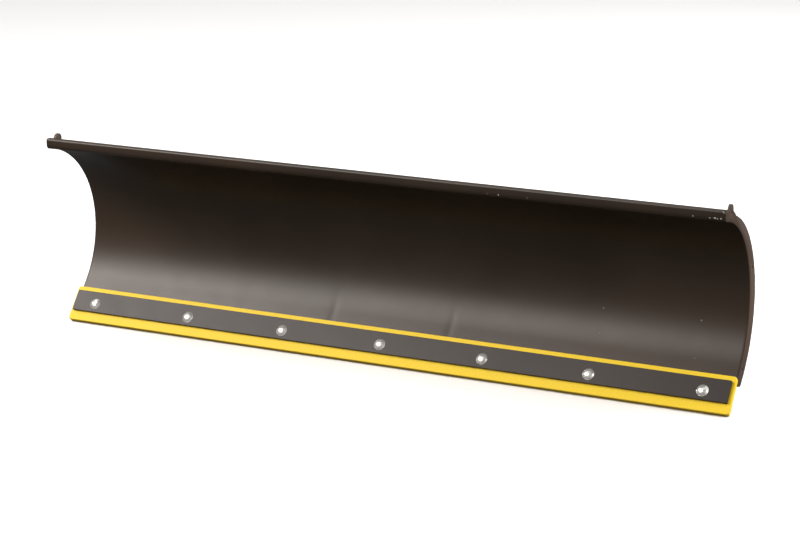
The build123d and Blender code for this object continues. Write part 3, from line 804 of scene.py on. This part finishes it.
def lock_nut(name):
    """A hexagon with bevelled corners and the round collar that holds the nylon."""
    seat = -STACK_BACK - WASHER_THICK
    corner = NUT_FLATS / 2 / cos(pi / 6)
    bore = BOLT_RADIUS
    levels = [(seat, 0.96), (seat - 0.7 * MM, 1.0), (seat - NUT_HEX_HEIGHT + 1.0 * MM, 1.0),
              (seat - NUT_HEX_HEIGHT, 0.93)]
    steps = 48
    verts, faces = [], []
    for height, share in levels:
        for i in range(steps):
            angle = 2 * pi * i / steps
            flat = NUT_FLATS / 2 / cos((angle % (pi / 3)) - pi / 6)
            radius = min(flat, corner * share)
            verts.append((radius * cos(angle), radius * sin(angle), height))
    collar_top = seat - NUT_HEX_HEIGHT - NUT_COLLAR_HEIGHT
    collar = [(NUT_COLLAR_RADIUS, seat - NUT_HEX_HEIGHT), (NUT_COLLAR_RADIUS, collar_top + 0.8 * MM),
              (NUT_COLLAR_RADIUS - 0.8 * MM, collar_top), (bore, collar_top), (bore, seat)]
    turns = [2 * pi * i / steps for i in range(steps)]
    for radius, height in collar:
        verts += [(radius * cos(turn), radius * sin(turn), height) for turn in turns]
    rings = len(levels) + len(collar)
    for ring in range(rings):
        below = (ring + 1) % rings
        faces += [(ring * steps + i, ring * steps + (i + 1) % steps, below * steps + (i + 1) % steps,
                   below * steps + i) for i in range(steps)]
    mesh = bpy.data.meshes.new(name)
    mesh.from_pydata(verts, [], faces)
    return smooth(outward(new_object(name, mesh)), radians(25))


one_bolt = turned("one_bolt", bolt_profile())
one_washer = turned("one_washer", washer_profile(), closed=True)
one_nut = lock_nut("one_nut")
print("one of each:", triangles(one_bolt), triangles(one_washer), triangles(one_nut), "triangles")


# %% [markdown]
# A tree sets the finished piece down at every point of a small mesh that holds nothing but the
# places, leans it the same way each time, and turns it about its own axis by a seeded random
# angle. The same tree stacks the loose rings on the shoes.

# %% Setting pieces down at points
def set_down_tree():
    """Sets a copy of one piece at every vertex of the start mesh, leaning and turned at random."""
    r = Recipe("set_down")
    points = r.start.outputs["Geometry"]
    piece = r.size("Piece", bpy.types.Object)
    seed = r.size("Seed", int)
    lean = r.size("Lean")
    material = r.size("Material", bpy.types.Material)
    shape = r.add("GeometryNodeObjectInfo", {"Object": piece}, out="Geometry")
    turn = r.random(0.0, 2 * pi, seed)
    leaning = r.add("FunctionNodeEulerToRotation", {0: r.vector(lean)})
    turning = r.add("FunctionNodeEulerToRotation", {0: r.vector(0.0, 0.0, turn)})
    both = r.add("FunctionNodeRotateRotation", {0: leaning, 1: turning}, rotation_space="LOCAL")
    copies = r.add("GeometryNodeInstanceOnPoints", {"Points": points, "Instance": shape, "Rotation": both})
    return r.finish(copies, material)


def point_mesh(name, places):
    mesh = bpy.data.meshes.new(name)
    mesh.from_pydata(places, [], [])
    return mesh


set_down = set_down_tree()


def copies_at(name, piece, places, material, seed, lean=0.0, sharp=radians(28)):
    """Copies of a piece as one plain mesh; the piece itself is removed."""
    sizes = {"Piece": piece, "Seed": seed, "Lean": lean, "Material": material}
    item = grow(name, set_down, sizes, point_mesh(name + "_places", places))
    bpy.data.objects.remove(piece)
    return smooth(item, sharp)


print("set-down recipe is ready")

# %% [markdown]
# Seven bolts hold the wear bar. They stand evenly apart but for the outermost two, and all lie on
# the bar's centre line, so that the worn bar can be turned over.

# %% The bolt row
BOLT_PITCH = 232.8 * MM
BOLT_END_PITCH = 238.6 * MM        # the outermost bolts stand a little further out
inner_row = [BOLT_PITCH * i for i in (-2, -1, 0, 1, 2)]
bolt_row = [inner_row[0] - BOLT_END_PITCH, *inner_row, inner_row[-1] + BOLT_END_PITCH]
row_place = foot_point(BOLT_UP, 0.0)
bolt_places = [(x, row_place.x, row_place.y) for x in bolt_row]
for item, name, node, finish, seed in ((one_bolt, "zinc_carriage_bolts", "wear_bar_bolts", bolt_zinc, 11),
                                       (one_washer, "zinc_washers", "wear_bar_washers", zinc, 23),
                                       (one_nut, "zinc_lock_nuts", "wear_bar_nuts", zinc, 37)):
    row = copies_at(name, item, bolt_places, finish, seed, pi / 2 - FOOT_LEAN)
    place(row, "blade", [node], "zinc")

# %% [markdown]
# ## The skid shoes
# A shoe is a pressed dish welded under a stem. Loose rings on the stem set its height, and a linch
# pin with a spring ring keeps it in its bracket. The dish, stem, rings and pin are all turned
# shapes. Each rides on the shoe's own body, so they swivel together, and the spring ring rides on
# its own, because it flips over the pin.

# %% Sizes of a shoe
STEM_RADIUS = 10.0 * MM
COLLAR_RADIUS = 16.0 * MM
COLLAR_HEIGHT = 10.0 * MM
DISH_RADIUS = 45.0 * MM
DISH_FLAT = 30.0 * MM
DISH_RISE = 9.0 * MM
DISH_THICK = 6.0 * MM
RIM_LEAN = 2.0 * MM
SPACER_RADIUS = 19.0 * MM
SPACER_THICK = 6.0 * MM
PIN_RADIUS = 4.0 * MM
PIN_HEAD_RADIUS = 8.0 * MM
PIN_HEAD_LENGTH = 14.0 * MM
RING_WIRE = 1.6 * MM
RING_CORNER = 11.8 * MM


def rounded(corner, before, after, radius, steps=4):
    """Points that round a profile's corner off, between the corners before and after it."""
    corner = Vector(corner)
    towards = (Vector(before) - corner).normalized()
    away = (Vector(after) - corner).normalized()
    shares = [i / steps for i in range(steps + 1)]
    points = [corner + towards * radius * (1 - t) ** 2 + away * radius * t**2 for t in shares]
    return [tuple(point) for point in points]


print("shoe on a stem of radius", STEM_RADIUS, "and a dish of radius", DISH_RADIUS)

# %% [markdown]
# Each profile is a list of radii and heights. A solid piece starts and ends on the axis, and a
# ring is closed. The dish has a flat sole that rises to a rim, so that it rides over stones, and
# the outer corners are rounded or chamfered, because a sharp one would catch no light.

# %% Profiles of the dish, the stem, a spacer and the pin
def dish_profile():
    """Sole outwards, round the rim, and back over the top."""
    middle = (DISH_FLAT + DISH_RADIUS) / 2
    bulge = DISH_RISE * 0.35
    rim_low, rim_high = (DISH_RADIUS, DISH_RISE), (DISH_RADIUS - RIM_LEAN, DISH_RISE + DISH_THICK)
    sole = [(0.0, 0.0), (DISH_FLAT, 0.0), (DISH_FLAT + 4 * MM, 0.7 * MM), (middle, bulge)]
    top = [(middle - 1 * MM, bulge + DISH_THICK), (DISH_FLAT + 3 * MM, DISH_THICK + 0.6 * MM),
           (DISH_FLAT, DISH_THICK), (0.0, DISH_THICK)]
    rim = rounded(rim_low, sole[-1], rim_high, 1.2 * MM) + rounded(rim_high, rim_low, top[0], 1.2 * MM)
    return sole + rim + top


def stem_profile(high):
    collar_top = DISH_THICK + COLLAR_HEIGHT
    chamfer = 2.0 * MM
    low, shoulder = (COLLAR_RADIUS, DISH_THICK), (COLLAR_RADIUS, collar_top)
    return [(0.0, DISH_THICK), low, *rounded(shoulder, low, (STEM_RADIUS, collar_top), 1.0 * MM),
            (STEM_RADIUS, collar_top), (STEM_RADIUS, high - chamfer),
            (STEM_RADIUS - chamfer, high), (0.0, high)]


def spacer_profile():
    hole, half = STEM_RADIUS + 0.5 * MM, SPACER_THICK / 2
    corners = [(hole, -half), (SPACER_RADIUS, -half), (SPACER_RADIUS, half), (hole, half)]
    profile = []
    for i, corner in enumerate(corners):
        profile += rounded(corner, corners[i - 1], corners[(i + 1) % 4], 0.6 * MM, 3)
    return profile


def pin_profile(tip, front):
    """Along the pin from its tip; front is where the head starts."""
    back = front + PIN_HEAD_LENGTH
    near, far = (PIN_HEAD_RADIUS, front), (PIN_HEAD_RADIUS, back)
    return [(0.0, tip), (PIN_RADIUS - 1.4 * MM, tip), (PIN_RADIUS, tip + 3 * MM), (PIN_RADIUS, front),
            *rounded(near, (PIN_RADIUS, front), far, 1.6 * MM), *rounded(far, near, (0.0, back), 1.6 * MM),
            (0.0, back)]


print("shoe profiles are ready")

# %% [markdown]
# The spring ring is wire bent round the stem: one closed path with four bends, given thickness by
# a tree that carries a small circle along it.


# %% Wire along a path
def wire_tree():
    r = Recipe("bent_wire")
    radius = r.size("Radius")
    material = r.size("Material", bpy.types.Material)
    line = r.add("GeometryNodeMeshToCurve", {"Mesh": r.start.outputs["Geometry"]})
    circle = r.add("GeometryNodeCurvePrimitiveCircle", {"Resolution": 14, "Radius": radius})
    return r.finish(r.add("GeometryNodeCurveToMesh", {"Curve": line, "Profile Curve": circle}), material)


def paths_mesh(name, paths, closed=False):
    """Several polylines as one mesh of edges; a closed one also joins its last point to its first."""
    places, edges = [], []
    for path in paths:
        start, count = len(places), len(path)
        places += path
        steps = count if closed else count - 1
        edges += [(start + i, start + (i + 1) % count) for i in range(steps)]
    mesh = bpy.data.meshes.new(name)
    mesh.from_pydata(places, edges, [])
    return mesh


def ring_path(low, high):
    """A rounded rectangle at the ring's mid-height, inside its box by the wire's radius."""
    steps = 8
    level = (low.z + high.z) / 2
    left, right = low.x + RING_WIRE, high.x - RING_WIRE
    far, near = low.y + RING_WIRE, high.y - RING_WIRE
    inset = RING_CORNER
    centres = [(right - inset, near - inset, 0.0), (left + inset, near - inset, pi / 2),
               (left + inset, far + inset, pi), (right - inset, far + inset, 3 * pi / 2)]
    places = []
    for x, y, start in centres:
        turns = [start + pi / 2 * i / steps for i in range(steps + 1)]
        places += [(x + inset * cos(turn), y + inset * sin(turn), level) for turn in turns]
    return places


wire = wire_tree()
print("wire recipe is ready")

# %% [markdown]
# A weld is a row of overlapping ripples. The path of each weld is a line on the CAD model's
# joints; a tree cuts it into steps, sets a flat ripple on every step, and leaves gaps where the
# welder stitched. Each ripple's size varies a little by a fixed seed.


# %% Weld beads along paths
RIPPLE_LENGTH = 0.62               # along the bead, as a share of a ripple's radius
RIPPLE_STEP = 0.8


def weld_tree():
    r = Recipe("weld_bead")
    step, radius = r.size("Step"), r.size("Radius")
    stitch, period = r.size("Stitch"), r.size("Period")
    seed = r.size("Seed", int)
    material = r.size("Material", bpy.types.Material)
    line = r.add("GeometryNodeMeshToCurve", {"Mesh": r.start.outputs["Geometry"]})
    steps = r.add("GeometryNodeResampleCurve", {"Curve": line, "Length": step}, mode="LENGTH")
    along = r.add("GeometryNodeSplineParameter", out="Length")
    welded = r.math("LESS_THAN", r.math("MODULO", along, period), stitch)
    ripple = r.add("GeometryNodeMeshUVSphere", {"Segments": 8, "Rings": 5, "Radius": radius}, out="Mesh")
    tangent = r.add("GeometryNodeInputTangent")
    facing = r.add("FunctionNodeAlignRotationToVector", {"Vector": tangent}, axis="X")
    size = r.random(0.88, 1.12, seed)
    scale = r.vector(r.math("MULTIPLY", size, RIPPLE_LENGTH), size, size)
    links = {"Points": steps, "Selection": welded, "Instance": ripple, "Rotation": facing, "Scale": scale}
    return r.finish(r.add("GeometryNodeInstanceOnPoints", links), material)


def circle_path(x, y, z, radius, axis="X", steps=40):
    turns = [2 * pi * i / steps for i in range(steps + 1)]
    if axis == "X":
        return [(x, y + radius * cos(turn), z + radius * sin(turn)) for turn in turns]
    return [(x + radius * cos(turn), y + radius * sin(turn), z) for turn in turns]


weld = weld_tree()


def weld_along(name, paths, radius, material, stitch=1.0, period=1.0, seed=1):
    sizes = {"Step": radius * RIPPLE_STEP, "Radius": radius, "Stitch": stitch, "Period": period,
             "Seed": seed, "Material": material}
    item = grow(name, weld, sizes, paths_mesh(name + "_paths", paths))
    return smooth(item, radians(60))


print("weld recipe is ready")


# %% [markdown]
# Long ribs are stitched, a short bead and then a gap, because one long bead would pull the sheet
# out of shape. The bosses, the spring anchor and the brackets take the push frame's and the
# ground's knocks, so they are welded without gaps. A bead's middle lies close to its joint, so
# that the bead fills the corner.

# %% Welds of the frame
WELD_RADIUS = 2.6 * MM
FITTING_WELD_RADIUS = WELD_RADIUS * 0.85
STITCH = 34 * MM
STITCH_PERIOD = 78 * MM
OFF_ROLL = 0.4 * MM                # from the sheet's back, and from a bracket's edges, to a bead's middle
OFF_RIB = 0.6 * MM                 # from a rib's face, a boss's rim or the top of the dish
OFF_FITTING = 0.8 * MM             # from a boss's seat, or from the stem's collar
OFF_ANCHOR = 0.2 * MM
IN_BRACKET = 1.0 * MM
BRACKET_END = 3 * MM               # a bracket's bead stops short of its ends
SIDES = (("right", 1), ("left", -1))


def along_back(x, high_angle, low_angle=-36, steps=54):
    """Follows the back of the roll at one X."""
    turns = [radians(low_angle + (high_angle - low_angle) * i / steps) for i in range(steps + 1)]
    out = ROLL_RADIUS + SHEET + OFF_ROLL
    return [(x, ROLL_CENTRE.x + out * cos(turn), ROLL_CENTRE.y + out * sin(turn)) for turn in turns]


def sides_of(node, away):
    """X of a node's face nearest the blade's middle, and of the one farthest from it."""
    low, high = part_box(node)
    return (low.x, high.x) if away > 0 else (high.x, low.x)


def rib_paths():
    """Both faces of every rib, and only the inner face of the end plates."""
    paths = []
    for kind, top in (("end_rib", 70), ("mid_rib", 70), ("skid_rib", 70), ("pivot_rib", 60)):
        for side, away in SIDES:
            inner, outer = sides_of(f"{kind}_{side}", away)
            paths.append(along_back(inner - away * OFF_RIB, top))
            if kind != "end_rib":
                paths.append(along_back(outer + away * OFF_RIB, top))
    return paths


def fitting_paths():
    """Round the pivot bosses, down the ends of the spring anchor, and along the skid brackets."""
    paths = []
    anchor_low, anchor_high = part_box("spring_anchor")
    for side, away in SIDES:
        boss = f"pivot_boss_{side}"
        seat, centre = sides_of(boss, away)[0], middle(boss)
        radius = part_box(boss)[1].z - centre.z + OFF_RIB
        paths.append(circle_path(seat + away * OFF_FITTING, centre.y, centre.z, radius))
        end = sides_of("spring_anchor", away)[1] - away * OFF_FITTING
        paths.append([(end, anchor_high.y + OFF_ANCHOR, z) for z in (anchor_low.z, anchor_high.z)])
        low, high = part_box(f"skid_bracket_{side}")
        web = sides_of(f"skid_bracket_{side}", away)[1] - away * IN_BRACKET
        for z in (low.z - OFF_ROLL, high.z + OFF_ROLL):
            paths.append([(web, y, z) for y in (low.y + BRACKET_END, high.y - BRACKET_END)])
    return paths


stitches = weld_along("rib_stitch_welds", rib_paths(), WELD_RADIUS, plate_coat, STITCH, STITCH_PERIOD, 5)
place(stitches, "blade", slot="black_coat")
fillets = weld_along("fitting_welds", fitting_paths(), FITTING_WELD_RADIUS, plate_coat, seed=9)
place(fillets, "blade", slot="black_coat")

# %% [markdown]
# Every turned shape of a shoe is made at the origin and moved to the stem's axis. The pin is laid
# over on its side after it has been turned. The dish and its weld, the stem, the rings and the pin
# ride on the shoe; the spring ring alone rides on its own body.

# %% Both skid shoes
DISH_WELD_RADIUS = 2.0 * MM


def skid_shoe(side):
    """Dish, stem, spacers and pin of one side, from the places of the CAD nodes."""
    body = f"skid_shoe_{side}"
    axis = middle(f"skid_stem_{side}")
    upright = Matrix.Translation((axis.x, axis.y, 0.0))
    stem = stem_profile(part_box(f"skid_stem_{side}")[1].z)
    for name, node, profile in ((f"turned_stem_{side}", f"skid_stem_{side}", stem),
                                (f"pressed_dish_{side}", f"skid_dish_{side}", dish_profile())):
        item = turned(name, profile, 64)
        item.data.transform(upright)
        place(item, body, [node], "skid_steel", shoe_steel)
    for level in ("lower", "upper"):
        node = f"skid_spacers_{level}_{side}"
        stack_low, stack_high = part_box(node)
        count = round((stack_high.z - stack_low.z) / SPACER_THICK)
        places = [(axis.x, axis.y, stack_low.z + SPACER_THICK * (i + 0.5)) for i in range(count)]
        ring = turned("one_spacer", spacer_profile(), 56, closed=True)
        stack = copies_at(f"spacers_{level}_{side}", ring, places, zinc, 3)
        place(stack, body, [node], "zinc")
    pin_low, pin_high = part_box(f"linch_pin_{side}")
    front = pin_high.y - axis.y - PIN_HEAD_LENGTH
    pin = turned(f"zinc_linch_pin_{side}", pin_profile(pin_low.y - axis.y, front), 40)
    level = middle(f"linch_pin_{side}").z
    pin.data.transform(Matrix.Translation((axis.x, axis.y, level)) @ Matrix.Rotation(-pi / 2, 4, "X"))
    place(pin, body, [f"linch_pin_{side}"], "zinc", zinc)
    seam = circle_path(axis.x, axis.y, DISH_THICK + OFF_RIB, COLLAR_RADIUS + OFF_FITTING, "Z")
    bead = weld_along(f"dish_weld_{side}", [seam], DISH_WELD_RADIUS, shoe_steel, seed=13)
    place(bead, body, slot="skid_steel")
    path = paths_mesh(f"ring_path_{side}", [ring_path(*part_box(f"linch_ring_{side}"))], closed=True)
    ring = grow(f"spring_ring_{side}", wire, {"Radius": RING_WIRE, "Material": spring_wire}, path)
    place(smooth(outward(ring), radians(60)), f"pin_ring_{side}", [f"linch_ring_{side}"], "zinc")


for side in ("right", "left"):
    skid_shoe(side)

# %% [markdown]
# ## Small marks
# Weld heat raises a pimple here and there on the working face, and the coat is knocked off in a
# few places along the lip's front corner near the right-hand end. Both are flat domes set on the
# surface by one tree, each squashed along the surface's own direction and roughened by noise.


# %% Spots on a surface
SPOT_NOISE_SCALE = 600.0           # cells to the metre


def spot_tree():
    r = Recipe("surface_spots")
    seed, flatness, ragged = r.size("Seed", int), r.size("Flatness"), r.size("Ragged")
    material = r.size("Material", bpy.types.Material)
    away, size = r.attribute("away"), r.attribute("size", "FLOAT")
    facing = r.add("FunctionNodeAlignRotationToVector", {"Vector": away}, axis="Z")
    oval = r.random(0.7, 1.4, seed)
    dome = r.add("GeometryNodeMeshIcoSphere", {"Radius": 1.0, "Subdivisions": 3}, out="Mesh")
    scale = r.vector(r.math("MULTIPLY", size, oval), size, r.math("MULTIPLY", size, flatness))
    links = {"Points": r.start.outputs["Geometry"], "Instance": dome, "Rotation": facing, "Scale": scale}
    real = r.add("GeometryNodeRealizeInstances", {0: r.add("GeometryNodeInstanceOnPoints", links)})
    noise = r.add("ShaderNodeTexNoise", {"Scale": SPOT_NOISE_SCALE}, out="Color")
    links = {"Geometry": real, "Offset": r.jitter(noise, ragged)}
    return r.finish(r.add("GeometryNodeSetPosition", links), material)


def spots_mesh(name, spots):
    """spots are (place, away, size)."""
    mesh = point_mesh(name, [spot[0] for spot in spots])
    away = mesh.attributes.new("away", "FLOAT_VECTOR", "POINT")
    away.data.foreach_set("vector", [number for spot in spots for number in spot[1]])
    size = mesh.attributes.new("size", "FLOAT", "POINT")
    size.data.foreach_set("value", [spot[2] for spot in spots])
    return mesh


def on_roll(x, degrees):
    """A point of the working face and the direction away from it."""
    turn = radians(degrees)
    ray = Vector((cos(turn), sin(turn)))
    point = ROLL_CENTRE + ray * ROLL_RADIUS
    return (x, point.x, point.y), (0.0, -ray.x, -ray.y)


spot = spot_tree()
chipped = Finish("chipped_steel", (0.42, 0.40, 0.37), 0.55)
chipped.bump(chipped.noise(900.0, 3.0), 0.5, 0.0001)
rust = [(0.3, (0.30, 0.28, 0.25)), (0.7, (0.62, 0.60, 0.56))]
chipped.feed("Base Color", chipped.ramp(chipped.noise(500.0, 3.0), rust))
spatter = powder_coat("coated_spatter", (0.16, 0.13, 0.105), 0.5, 0.5)


def set_spots(name, spots, seed, flatness, ragged, material):
    """Grows the domes at the spots and hands them to the blade's body."""
    sizes = {"Seed": seed, "Flatness": flatness, "Ragged": ragged, "Material": material}
    item = grow(name, spot, sizes, spots_mesh(name + "_places", spots))
    place(smooth(outward(item), radians(60)), "blade", slot="black_coat")


MID_RIB_X = middle("mid_rib_right").x
SKID_RIB_X = middle("skid_rib_right").x
PIMPLES = ((MID_RIB_X, -14.7, 1.5), (MID_RIB_X, -29.5, 1.3), (SKID_RIB_X, -14.6, 1.5),
           (SKID_RIB_X, -28.4, 1.3), (SKID_RIB_X, -36.8, 1.0))
pimples = [(*on_roll(x, degrees), size * MM) for x, degrees, size in PIMPLES]
set_spots("weld_pimples", pimples, 4, 0.35, 0.3 * MM, spatter)

# %% [markdown]
# Most chips lie where the lip's face starts to turn under, closest together near the corner that
# gets knocked. Each is given by its distance from the sheet's right-hand end, its height over that
# bend and its size, in millimetres.

# %% Chips along the lip
LIP_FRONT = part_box("moldboard")[0].y + 0.12 * MM   # a chip is mostly sunk in the lip's face
LIP_EDGE = LIP_TOP - 16.2 * MM
LIP_AWAY = (0.0, -1.0, -0.25)
CHIPS = ((9, 0.4, 1.5), (16, -0.2, 1.2), (21, 0.5, 1.7), (31, 0.0, 1.1), (64, 0.3, 1.3),
         (3, 12.0, 1.4), (5, 14.5, 1.0), (402, 0.2, 1.0), (463, 0.0, 1.3), (487, 0.4, 0.9))
chips = [((SHEET_HALF - back * MM, LIP_FRONT, LIP_EDGE + up * MM), LIP_AWAY, size * MM)
         for back, up, size in CHIPS]
set_spots("lip_chips", chips, 8, 0.12, 0.7 * MM, chipped.material)
